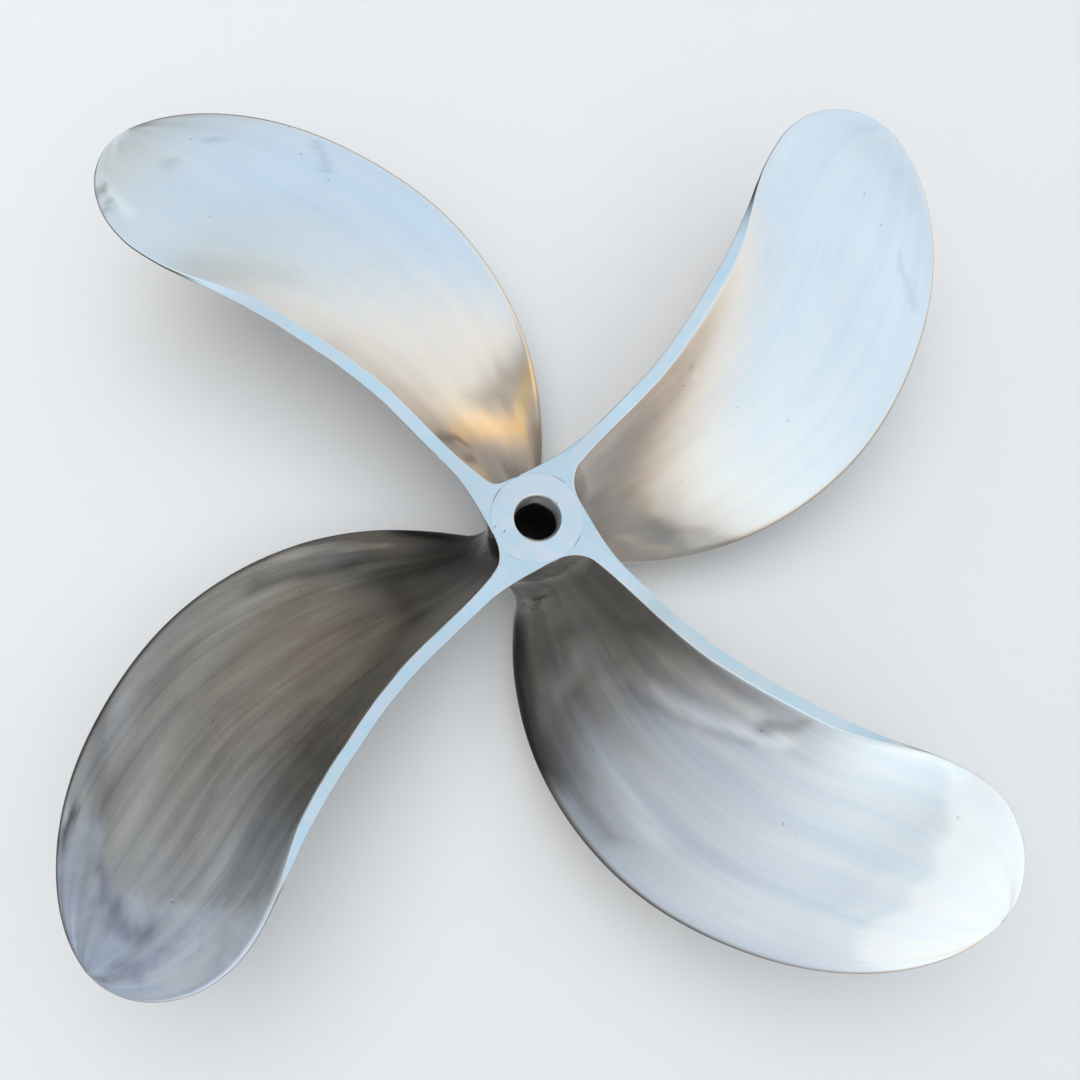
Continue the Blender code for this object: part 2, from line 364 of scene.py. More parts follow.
def blade(number):
    """One blade, as a grid of rows from inside the boss to the tip and columns round the section."""
    straight = ROWS_CLOSE_FROM * TIP_RADIUS
    start = BOSS_RADIUS - ROOT_INSIDE
    inner = start + (straight - start) * np.linspace(0, 1, INNER_ROWS, endpoint=False)
    closing = np.cos(np.radians(TIP_TURN) * np.linspace(0, 1, TIP_ROWS))
    radii = np.concatenate([inner, TIP_RADIUS - (TIP_RADIUS - straight) * closing**2])
    rows = Sections(radii, number)
    steps = np.arange(CHORD_STEPS + 1) / CHORD_STEPS
    share = spaced(steps, BLADE_SPACING)[None, :]

    zero = np.zeros((1, 1))
    back_corner = rows.side("back", zero)[:, 0]
    face_corner = rows.side("face", zero)[:, 0]
    across = face_corner - back_corner
    width = np.linalg.norm(across, axis=1, keepdims=True)
    across = across / width
    toes = {side: SHORT_TOES.get((number, side), WELDS[side]["toe"]) for side in WELDS}
    sides = {}
    rounding = {}
    for side in ("face", "back"):
        free = smooth_step(ROUNDING_STARTS[0] * toes[side], ROUNDING_STARTS[1] * toes[side], rows.radius)
        full = EDGE_ROUNDING * (ROUNDING_UNDER_BEAD + (1 - ROUNDING_UNDER_BEAD) * free)
        rounded = np.minimum(full, ROUNDING_AT_MOST * width)
        along = rounded / rows.chord + (1 - rounded / rows.chord) * share
        sides[side] = (along, rows.side(side, along, relief(number, side, rows, along)))
        rounding[side] = rounded
    strip_from = back_corner + across * rounding["back"]
    strip_to = face_corner - across * rounding["face"]
    cut = ((1 - np.cos(np.pi * np.arange(EDGE_STEPS + 1) / EDGE_STEPS)) / 2).reshape(1, -1, 1)
    strip = strip_from[:, None] * (1 - cut) + strip_to[:, None] * cut
    face_round = bend_round(strip_to, face_corner, sides["face"][1][:, 0], CORNER_STEPS)
    back_round = bend_round(sides["back"][1][:, 0], back_corner, strip_from, CORNER_STEPS)
    loop = np.concatenate(
        [sides["face"][1], sides["back"][1][:, -2::-1], back_round, strip, face_round], axis=1
    )
    edge_columns = loop.shape[1] - 2 * CHORD_STEPS - 1
    chord_share = np.concatenate(
        [sides["face"][0], sides["back"][0][:, -2::-1], np.zeros((len(radii), edge_columns))], axis=1
    )
    loop[..., 0] += edge_wobble(number, rows) * np.exp(-chord_share * rows.chord / WOBBLE_REACH)
    which = np.concatenate([np.zeros(CHORD_STEPS + 1), np.full(CHORD_STEPS, 1.0), np.full(edge_columns, 0.5)])
    count = loop.shape[1]
    caps = [list(range(count)), list(range(len(radii) * count - 1, (len(radii) - 1) * count - 1, -1))]
    flat = rows.placed(loop).reshape(-1, 3)
    faces = faces_outwards(flat, grid_faces(len(radii), count) + caps)
    first = 2 * CHORD_STEPS + 1 + CORNER_STEPS - 1
    borders = [np.arange(len(radii)) * count + column for column in (first, first + EDGE_STEPS)]
    borders.append(np.arange(count))
    obj = make_piece(f"blade_{number}", flat, faces, borders)
    column = np.arange(count)
    level = (column >= first) & (column <= first + EDGE_STEPS)
    store_looks(obj, number, rows.share, chord_share, which, level)
    store(obj, "tip", tip_finish(number, np.broadcast_to(rows.share, chord_share.shape), chord_share).ravel())
    return obj


# Two blades have a tip finished apart from the rest, outside a curved border: points on it, as shares of
# the chord and of the tip radius
TIP_BORDERS = {
    3: [
        (0.0, 0.735), (0.12, 0.80), (0.30, 0.84), (0.48, 0.885),
        (0.64, 0.89), (0.80, 0.852), (0.92, 0.905), (1.0, 0.95),
    ],
    4: [
        (0.0, 0.78), (0.07, 0.81), (0.25, 0.85), (0.40, 0.872),
        (0.60, 0.876), (0.77, 0.868), (0.90, 0.90), (1.0, 0.94),
    ],
}
BORDER_BLEND = (-0.012, 0.016)  # shares of the tip radius over which it changes, inwards and outwards


def tip_finish(number, span, chord):
    """1 outside the border of the tip's own finish, and 0 inside."""
    if number not in TIP_BORDERS:
        return np.zeros(np.shape(span))
    place, height = np.array(TIP_BORDERS[number]).T
    stray_span, stray_chord = strayed(number, span, chord)
    return smooth_step(*BORDER_BLEND, stray_span - np.interp(stray_chord, place, height))


# Tones of the ground faces on the blades' aft sides: mostly painted reflections, painted highlights and
# painted shade, with some of the steel's own marks. Each stroke runs from one point to another, each a share
# of the tip radius and of the chord. It has a half width in shares of the tip radius, and a colour that
# multiplies the steel's
REFLECTION_AND_MARK_STROKES = {}
# Blade 1: the warm band beside the trailing edge's strip and the streaks at the root and the leading edge are
# painted reflections and painted shade
REFLECTION_AND_MARK_STROKES[1] = [
    (0.1, 0.05, 0.33, 0.03, 0.04, (1.32, 1.27, 1.22)),
    (0.12, 0.4, 0.12, 0.75, 0.034, (0.66, 0.64, 0.61)),
    (0.21, 0.48, 0.23, 0.7, 0.022, (0.86, 0.85, 0.83)),
    (0.24, 0.75, 0.38, 0.98, 0.018, (0.76, 0.75, 0.75)),
    (0.17, 0.78, 0.26, 0.93, 0.012, (1.3, 1.22, 1.08)),
    (0.96, 0.2, 0.96, 0.8, 0.03, (0.93, 0.94, 0.95)),
    (0.86, 0.74, 0.84, 0.9, 0.01, (0.88, 0.9, 0.92)),
    (0.6, 0.55, 0.75, 0.6, 0.22, (1.05, 1.05, 1.05)),
]
# Blade 2: a painted sky-blue reflection on the outer blade, painted warm reflections along the root, painted
# shade along the root's leading edge, and lighter and darker marks at the tip
REFLECTION_AND_MARK_STROKES[2] = [
    (0.72, 0.7, 0.66, 0.9, 0.19, (0.91, 0.98, 1.05)),
    (0.215, 0.2, 0.22, 0.75, 0.03, (1.27, 1.06, 0.76)),
    (0.225, 0.78, 0.35, 0.97, 0.02, (1.25, 1.06, 0.78)),
    (0.225, 0.03, 0.195, 0.22, 0.012, (0.6, 0.57, 0.53)),
    (0.165, 0.06, 0.16, 0.15, 0.01, (0.62, 0.58, 0.55)),
    (0.12, 0.97, 0.22, 0.93, 0.03, (0.55, 0.52, 0.48)),
    (0.12, 0.5, 0.12, 0.75, 0.028, (0.62, 0.6, 0.57)),
    (0.26, 0.8, 0.32, 0.97, 0.02, (1.24, 1.18, 1.08)),
    (0.74, 0.06, 0.62, 0.17, 0.028, (0.92, 0.91, 0.88)),
    (0.45, 0.3, 0.4, 0.75, 0.09, (1.07, 1.04, 1.01)),
    (0.78, 0.8, 0.84, 0.95, 0.007, (0.84, 0.86, 0.88)),
    (0.9, 0.4, 0.905, 0.46, 0.008, (0.84, 0.85, 0.86)),
    (0.905, 0.66, 0.91, 0.71, 0.008, (0.82, 0.84, 0.85)),
    (0.93, 0.01, 0.94, 0.07, 0.007, (0.66, 0.66, 0.66)),
    (0.9, 0.01, 0.905, 0.06, 0.006, (0.66, 0.66, 0.66)),
    (0.95, 0.08, 0.88, 0.1, 0.012, (1.16, 1.15, 1.13)),
    (0.95, 0.15, 0.93, 0.6, 0.04, (1.06, 1.05, 1.02)),
    (0.93, 0.6, 0.95, 0.95, 0.045, (0.97, 1.0, 1.06)),
]
# Blade 3: painted shade darkens the root and the leading edge beside it, and lighter and darker streaks paint
# reflections
REFLECTION_AND_MARK_STROKES[3] = [
    (0.09, 0.0, 0.1, 1.0, 0.095, (0.08, 0.08, 0.077)),
    (0.27, 0.2, 0.27, 0.48, 0.03, (0.6, 0.59, 0.57)),
    (0.15, 0.58, 0.29, 0.62, 0.06, (0.5, 0.49, 0.47)),
    (0.14, 0.88, 0.24, 1.0, 0.045, (0.14, 0.14, 0.135)),
    (0.28, 0.03, 0.5, 0.02, 0.018, (1.24, 1.16, 1.08)),
    (0.52, 0.1, 0.74, 0.04, 0.05, (0.74, 0.73, 0.7)),
    (0.3, 0.16, 0.55, 0.15, 0.02, (0.82, 0.8, 0.77)),
    (0.3, 0.3, 0.7, 0.4, 0.11, (0.99, 0.93, 0.85)),
    (0.45, 0.62, 0.85, 0.72, 0.1, (0.92, 0.89, 0.83)),
    # A painted highlight: the glint along the curled leading edge, with painted shade beside it on the next
    # line
    (0.265, 0.84, 0.47, 0.985, 0.012, (1.75, 1.62, 1.42)),
    (0.34, 0.74, 0.5, 0.87, 0.02, (0.6, 0.59, 0.58)),
    (0.84, 0.82, 0.8, 1.0, 0.03, (0.68, 0.67, 0.68)),
    (0.91, 0.34, 0.93, 0.5, 0.016, (0.66, 0.63, 0.68)),
    (0.915, 0.52, 0.9, 0.66, 0.014, (0.66, 0.64, 0.7)),
    (0.95, 0.18, 0.96, 0.34, 0.012, (0.8, 0.78, 0.84)),
    (0.95, 0.05, 0.9, 0.08, 0.03, (1.12, 1.13, 1.16)),
    (0.89, 0.88, 0.93, 0.99, 0.008, (0.52, 0.51, 0.5)),
]
# Blade 4: painted highlights along the trailing edge and the root, painted shade along the leading edge, and
# fine light and dark streaks at the root that paint glints and shade on its rough marks
REFLECTION_AND_MARK_STROKES[4] = [
    (0.11, 0.38, 0.27, 0.5, 0.05, (1.5, 1.49, 1.46)),
    (0.13, 0.58, 0.2, 0.66, 0.03, (1.22, 1.21, 1.19)),
    (0.16, 0.95, 0.42, 0.97, 0.04, (0.28, 0.27, 0.26)),
    (0.3, 0.82, 0.56, 0.9, 0.022, (0.72, 0.71, 0.71)),
    (0.57, 0.14, 0.36, 0.29, 0.014, (1.33, 1.32, 1.32)),
    (0.52, 0.22, 0.33, 0.38, 0.013, (0.8, 0.8, 0.81)),
    (0.5, 0.1, 0.33, 0.13, 0.018, (1.33, 1.3, 1.25)),
    (0.57, 0.04, 0.53, 0.13, 0.013, (0.72, 0.7, 0.67)),
    (0.27, 0.12, 0.24, 0.2, 0.018, (0.78, 0.76, 0.73)),
    (0.34, 0.66, 0.58, 0.74, 0.02, (1.22, 1.22, 1.22)),
    (0.86, 0.15, 0.84, 0.75, 0.03, (1.08, 1.07, 1.05)),
    (0.58, 0.02, 0.8, 0.04, 0.04, (1.18, 1.17, 1.15)),
    (0.125, 0.55, 0.115, 0.8, 0.005, (1.3, 1.28, 1.24)),
    (0.116, 0.58, 0.112, 0.72, 0.003, (0.35, 0.34, 0.32)),
    (0.135, 0.6, 0.13, 0.9, 0.004, (1.22, 1.2, 1.17)),
    (0.108, 0.5, 0.106, 0.58, 0.0025, (1.5, 1.48, 1.42)),
    (0.12, 0.66, 0.121, 0.74, 0.0025, (0.5, 0.49, 0.47)),
    (0.128, 0.52, 0.127, 0.6, 0.003, (1.35, 1.33, 1.28)),
    (0.112, 0.76, 0.11, 0.84, 0.003, (1.35, 1.33, 1.28)),
    (0.131, 0.7, 0.13, 0.78, 0.0025, (0.6, 0.59, 0.57)),
]
TIP_TONES = {3: (1.14, 1.18, 1.28), 4: (1.30, 1.24, 1.18)}
# Both tones are cool: their blue cast is a painted reflection of the sky over these upward faces
GROUND_AND_SKY_TONE = (0.87, 0.94, 0.965)  # of the level faces ground across strips and weld tops
FACE_AND_SKY_TONE = (0.93, 0.955, 0.975)  # of the boss's turned aft face
CHORD_TO_SPAN = 0.45  # a blade's chord against its tip radius, for measuring across strokes
# How strokes and borders stray along the span and the chord: amplitude, waves along each, and a turn that
# differs from blade to blade
SPAN_STRAYS = [(0.005, 23, 31, 1), (0.003, 67, -43, 2), (0.002, 151, 97, 3)]
CHORD_STRAYS = [(0.008, 37, 29, 3), (0.005, -53, 71, 1), (0.003, 111, 173, 2)]
STRAY_STARTS = (0.10, 0.20)


def strayed(number, span, chord):
    """The same shares, pushed about a little so that what is laid out by them gets an uneven outline."""
    out, across = [
        sum(size * np.sin(waves * span + across_waves * chord + turn * number)
            for size, waves, across_waves, turn in strays)
        for strays in (SPAN_STRAYS, CHORD_STRAYS)
    ]
    inside = smooth_step(*STRAY_STARTS, span)
    return span + inside * out, chord + inside * across


def tint(number, span, chord, aft_side):
    """The colour that multiplies the steel's at each point, which carries painted reflections and painted
    shade.
    """
    color = np.ones(np.shape(span) + (3,))
    stray_span, stray_chord = strayed(number, span, chord)
    here = np.stack([stray_span, CHORD_TO_SPAN * stray_chord], axis=-1)
    for span_from, chord_from, span_to, chord_to, width, shade in REFLECTION_AND_MARK_STROKES[number]:
        start = np.array([span_from, CHORD_TO_SPAN * chord_from])
        run = np.array([span_to, CHORD_TO_SPAN * chord_to]) - start
        along = np.clip(((here - start) @ run) / (run @ run), 0, 1)[..., None]
        away = np.linalg.norm(here - start - along * run, axis=-1)
        share = (np.exp(-((away / width) ** 2)) * aft_side)[..., None]
        color *= 1 + share * (np.array(shade) - 1)
    tip = (tip_finish(number, span, chord) * aft_side)[..., None]
    return color * (1 + tip * (np.array(TIP_TONES.get(number, (1, 1, 1))) - 1))


def store_looks(obj, number, span, chord, side, level):
    """Keeps where each point lies on its blade, whether it is on a level ground face, and its tint, which
    carries painted reflections and painted shade.

    'side' is 0 on the aft side, 1 on the forward one, and between them on the edge.
    """
    span, chord, side, level = np.broadcast_arrays(span, chord, side, level)
    store(obj, "lay", np.stack([span, chord, side + 3.0 * number], axis=-1).reshape(-1, 3))
    store(obj, "ground", level.ravel())
    color = np.where(level[..., None], GROUND_AND_SKY_TONE, tint(number, span, chord, side == 0))
    store(obj, "tint", color.reshape(-1, 3))


def weld(number, side):
    """One dressed root weld: rows along the chord, columns out along the fillet and back inside the blade."""
    size = WELDS[side]
    out = (np.arange(WELD_ROWS + 1) / WELD_ROWS) ** 2
    radii = BOSS_RADIUS + (SHORT_TOES.get((number, side), size["toe"]) - BOSS_RADIUS) * out
    radii[0] = BOSS_RADIUS - ROOT_INSIDE
    rows = Sections(radii, number)
    at_boss = Sections([BOSS_RADIUS], number)
    steps = np.arange(WELD_STEPS + 1) / WELD_STEPS
    along = (WELD_LENGTH * spaced(steps, WELD_SPACING))[None, :]
    thickness = np.abs(at_boss.side("face", along)[..., 0] - at_boss.side("back", along)[..., 0])
    space = BOSS_RADIUS * 2 * math.pi / BLADE_COUNT - thickness
    past = np.clip((along - WELD_FADES[0]) / (WELD_FADES[1] - WELD_FADES[0]), 0.0, 1.0)
    full = size["share"] * space * np.sqrt(1 - past**2)
    reach = full * (1 - np.sqrt(1 - (1 - out[:, None]) ** 2))
    random = np.random.default_rng(1000 + 10 * number + (side == "back"))
    ripple = np.zeros(reach.shape)
    for waves in BEAD_WAVES:
        phase = random.uniform(0, 2 * math.pi, 2)
        crossing = np.sin(BEAD_WAVES_ACROSS * out[:, None] + phase[1])
        ripple += np.sin(2 * math.pi * waves * along + phase[0]) * crossing / waves
    shown = smooth_step(*BEAD_RIPPLE_STARTS, along) * np.sin(np.pi * np.sqrt(out[:, None]))
    reach = reach + BEAD_RIPPLE * ripple * shown
    depth = np.minimum(BEAD_DEPTH, BEAD_DEPTH_SHARE * thickness)
    outer = rows.side(side, along)
    inner = outer.copy()
    away = 1.0 if side == "face" else -1.0
    outer[..., 0] += away * (reach - BEAD_SINK)
    inner[..., 0] -= away * depth
    rounded = np.minimum(EDGE_ROUNDING, 0.5 * reach[:, :1])
    corner = outer[:, 0].copy()
    inset = corner.copy()
    inset[:, :1] -= away * rounded
    dropped = rows.side(side, np.minimum(rounded / rows.chord, along[:, 1:2] * 0.5))[:, 0]
    dropped[:, 0] += away * (reach[:, 0] - BEAD_SINK)
    bent = bend_round(inset, corner, dropped, CORNER_STEPS)
    top = np.concatenate([inset[:, None], bent, dropped[:, None]], axis=1)
    outer = np.concatenate([top, outer[:, 1:]], axis=1)
    inner = np.concatenate([np.repeat(inner[:, :1], top.shape[1], axis=1), inner[:, 1:]], axis=1)
    inner[:, 1 : top.shape[1], 1] = outer[:, 1 : top.shape[1], 1]
    outer[..., 1] -= TOP_STEP
    inner[..., 1] -= TOP_STEP
    ring = np.concatenate([rows.placed(outer), rows.placed(inner)[::-1]], axis=0)
    ring = ring.transpose(1, 0, 2)
    levels, count = ring.shape[:2]
    faces = grid_faces(levels, count)
    half = count // 2
    cap = [[i, i + 1, count - 2 - i, count - 1 - i] for i in range(half - 1)]
    base = (levels - 1) * count
    faces += cap + [[base + v for v in reversed(face)] for face in cap]
    flat = ring.reshape(-1, 3)
    faces = faces_outwards(flat, faces)
    obj = make_piece(f"blade_{number}_{size['word']}_weld", flat, faces, [np.arange(count)])
    share = np.concatenate([np.repeat(along[:, :1], top.shape[1], axis=1), along[:, 1:]], axis=1)
    span = np.concatenate([radii, radii[::-1]]) / TIP_RADIUS
    level = np.arange(levels)[:, None] == 0
    store_looks(obj, number, span, share.reshape(-1, 1), float(side == "back"), level)
    return obj


# Pits in the boss's aft face: distance from the axis, angle in degrees, radius and depth, in metres
PITS = [
    (0.0160, 202, 0.00050, 0.00045),
    (0.0195, 192, 0.00055, 0.00035),
    (0.0183, 205, 0.00030, 0.00020),
    (0.0150, 215, 0.00025, 0.00015),
    (0.0190, 262, 0.00030, 0.00015),
    (0.0176, 330, 0.00025, 0.00015),
]
# The boss's rounded corners in metres, as distances in from the outside or out from the bore, and down from
# the aft face or up from the forward one
AFT_EDGE = [(0.0006, 0.0), (0.0003, 0.00004), (0.0, 0.00007)]
FORWARD_EDGE = [(0.0, 0.0032), (0.0006, 0.0018), (0.0016, 0.0007), (0.0027, 0.0)]
FORWARD_MOUTH = [(0.0014, 0.0), (0.0006, 0.0006), (0.0, 0.0016)]
AFT_MOUTH = [(0.0, 0.0009), (0.0003, 0.00025), (0.0012, 0.0)]
SIDE_DOWN = 0.004  # how far below the aft face the outside's even rows begin
# A painted shade line round the turned face's outer edge, standing for the shade of the groove there: its
# width in metres, how dark it is, and where more so, as angle and width in degrees and how much
LINE_WIDTH = 0.00048
GROOVE_SHADE_BASE = 0.20
GROOVE_SHADE_PEAKS = [(150, 42, 0.36), (48, 20, 0.20), (268, 20, 0.20), (318, 20, 0.20)]
# How far in metres the level face, the painted shade line and the bore count from the aft face or from the
# bore's wall
LEVEL_WITHIN = 0.0007
LINE_WITHIN = 0.001
BORE_WITHIN = 0.0004


def boss():
    """The turned boss: a profile carried round the shaft, with a worn edge and pits in its aft face."""
    bore, outer, length = BORE_RADIUS, BOSS_RADIUS, BOSS_LENGTH
    aft_face = np.linspace(bore + AFT_MOUTH[-1][0], outer - AFT_EDGE[0][0], AFT_FACE_STEPS)
    side = np.linspace(length - SIDE_DOWN, FORWARD_EDGE[0][1], BOSS_SIDE_STEPS)
    wall = np.linspace(length - AFT_MOUTH[0][1], FORWARD_MOUTH[-1][1], BORE_STEPS)
    profile = [(radius, length) for radius in aft_face]
    profile += [(outer - across, length - down) for across, down in AFT_EDGE[1:]]
    profile += [(outer, height) for height in side]
    profile += [(outer - across, up) for across, up in FORWARD_EDGE[1:]]
    profile += [(bore + across, up) for across, up in FORWARD_MOUTH[:-1]]
    profile += [(bore, height) for height in wall[::-1]]
    profile += [(bore + across, length - down) for across, down in AFT_MOUTH[1:-1]]
    profile = np.array(profile)
    turn = 2 * math.pi * np.arange(BOSS_STEPS) / BOSS_STEPS
    radius = np.repeat(profile[None, :, 0], BOSS_STEPS, axis=0)
    height = np.repeat(profile[None, :, 1], BOSS_STEPS, axis=0)
    x, y = radius * np.cos(turn)[:, None], radius * np.sin(turn)[:, None]
    for reach, angle, size, depth in PITS:
        away = (x - reach * math.cos(math.radians(angle))) ** 2
        away = away + (y - reach * math.sin(math.radians(angle))) ** 2
        height -= np.where(height > length - 1e-6, depth * np.exp(-away / size**2), 0)
    points = np.stack([x, y, height], axis=-1)
    count = len(profile)
    i = np.arange(BOSS_STEPS)[:, None] * count + np.arange(count)[None, :]
    following = np.roll(i, -1, axis=0)
    faces = np.stack([i, np.roll(i, -1, axis=1), np.roll(following, -1, axis=1), following], axis=-1)
    flat = points.reshape(-1, 3)
    faces = faces_outwards(flat, faces.reshape(-1, 4).tolist())
    corners = [0, len(aft_face) - 1]
    obj = make_piece("hub_boss_turned", flat, faces, [np.arange(BOSS_STEPS) * count + c for c in corners])
    lay = np.stack([radius / TIP_RADIUS, height / BOSS_LENGTH, np.zeros(radius.shape)], axis=-1)
    store(obj, "lay", lay.reshape(-1, 3))
    ground = (height > length - LEVEL_WITHIN).astype(float)
    store(obj, "ground", ground.ravel())
    in_bore = radius < bore + BORE_WITHIN
    store(obj, "bored", np.where(in_bore, (length - height) / length, 0).ravel())
    # The painted shade of the groove round the face's outer edge, darker at some angles
    line = np.full(BOSS_STEPS, GROOVE_SHADE_BASE)
    for middle, width, more in GROOVE_SHADE_PEAKS:
        line += more * np.exp(-(((np.degrees(turn) - middle) / width) ** 2))
    in_groove_shade = (radius > outer - LINE_WIDTH) & (height > length - LINE_WITHIN)
    shade = 1 - np.where(in_groove_shade, line[:, None], 0)
    store(obj, "tint", shade.reshape(-1, 1) * np.array(FACE_AND_SKY_TONE))
    return obj


# Materials


class Wires:
    """Short names for making and joining a node tree's nodes."""

    def __init__(self, tree):
        self.tree = tree

    def node(self, kind, **settings):
        made = self.tree.nodes.new(kind)
        for name, value in settings.items():
            setattr(made, name, value)
        return made

    def put(self, socket, value):
        if isinstance(value, bpy.types.NodeSocket):
            self.tree.links.new(value, socket)
        else:
            socket.default_value = value

    def math(self, operation, *values, clamp=False):
        made = self.node("ShaderNodeMath", operation=operation, use_clamp=clamp)
        for socket, value in zip(made.inputs, values):
            self.put(socket, value)
        return made.outputs[0]

    def vector(self, operation, *values, output=0):
        made = self.node("ShaderNodeVectorMath", operation=operation)
        for socket, value in zip(made.inputs, values):
            self.put(socket, value)
        return made.outputs[output]

    def scaled(self, vector, by):
        made = self.node("ShaderNodeVectorMath", operation="SCALE")
        self.put(made.inputs[0], vector)
        self.put(made.inputs["Scale"], by)
        return made.outputs[0]

    def attribute(self, name, output="Fac"):
        return self.node("ShaderNodeAttribute", attribute_name=name).outputs[output]

    def noise(self, vector, scale, detail=3.0, roughness=0.55, distortion=0.0):
        made = self.node("ShaderNodeTexNoise")
        self.put(made.inputs["Vector"], vector)
        values = (scale, detail, roughness, distortion)
        for name, value in zip(("Scale", "Detail", "Roughness", "Distortion"), values):
            made.inputs[name].default_value = value
        return made.outputs["Fac"]

    def spots(self, vector, scale, size):
        """1 inside small scattered spots, and 0 elsewhere."""
        made = self.node("ShaderNodeTexVoronoi")
        self.put(made.inputs["Vector"], vector)
        made.inputs["Scale"].default_value = scale
        return self.range(made.outputs["Distance"], size, 0.4 * size, 0.0, 1.0)

    def range(self, value, low, high, to_low, to_high):
        made = self.node("ShaderNodeMapRange", interpolation_type="SMOOTHSTEP")
        for socket, number in zip(made.inputs, (value, low, high, to_low, to_high)):
            self.put(socket, number)
        return made.outputs[0]

    def mix(self, factor, first, second):
        made = self.node("ShaderNodeMix", data_type="RGBA")
        self.put(made.inputs[0], factor)
        self.put(made.inputs[6], first)
        self.put(made.inputs[7], second)
        return made.outputs[2]

    def ramp(self, factor, stops):
        made = self.node("ShaderNodeValToRGB")
        elements = made.color_ramp.elements
        while len(elements) < len(stops):
            elements.new(0.5)
        for element, (place, color) in zip(elements, stops):
            element.position = place
            element.color = (*color, 1.0)
        self.put(made.inputs[0], factor)
        return made.outputs[0]


def new_material(name):
    """A new material, the short names for its node tree, and its shader."""
    material = bpy.data.materials.new(name)
    material.use_nodes = True
    return material, Wires(material.node_tree), material.node_tree.nodes["Principled BSDF"]


STEEL = (0.735, 0.745, 0.75)
COOL_LEAN = (-0.02, -0.01, 0.01)  # of the colour's channels in one band of marks, and in the next
WARM_LEAN = (0.01, -0.01, -0.05)
DARK_SOIL = (0.20, 0.19, 0.18, 1.0)
# Tones of the level faces' patches, and the noise's range between them
PATCH_TONES = ((0.89, 0.985, 1.01, 1.0), (1.03, 0.99, 0.99, 1.0))
PATCH_RANGE = (0.36, 0.64)
# Grinding marks: scale for each tip radius outwards, each chord across and between sides, then the noise's
# detail, roughness and distortion
BANDS = ((1.7, 11.0, 9.0), (3.0, 0.5, 0.35))
LONG_MARKS = ((3.4, 44.0, 9.0), (3.0, 0.6, 0.5))
FINE_MARKS = ((26.0, 420.0, 9.0), (2.0, 0.6, 0.0))
# What doesn't follow the marks: scale for each metre, and the same
CLOUD = (38.0, 5.0, 0.6, 0.4)
BLOTCH = (110.0, 3.0, 0.55, 0.8)
PATCH = (75.0, 4.0, 0.6, 0.6)
PIT = (60.0, 0.05)  # scale and size
# How much each of them changes the colour, the roughness and the height
IN_COLOR = {"marks": 0.42, "cloud": 0.16, "blotch": 0.13, "fine": 0.02, "pits": 0.5}
IN_ROUGHNESS = {"marks": 0.18, "cloud": 0.14, "blotch": 0.10, "tip": 0.08, "plain": -0.04}
IN_HEIGHT = {"marks": 0.8, "blotch": 0.16, "fine": 0.04, "pits": -0.8}
LONG_MARKS_SHARE = 0.36  # of the long marks beside the bands
TIP_MARKS_LOST = 0.55  # how much of the marks a tip's own finish takes away
BLOTCH_LEVEL = (0.6, 1.6)  # strength of the blotches, and what a tip's own finish adds
BUMP_STRENGTH = 0.5
BUMP_DISTANCE = 0.00010


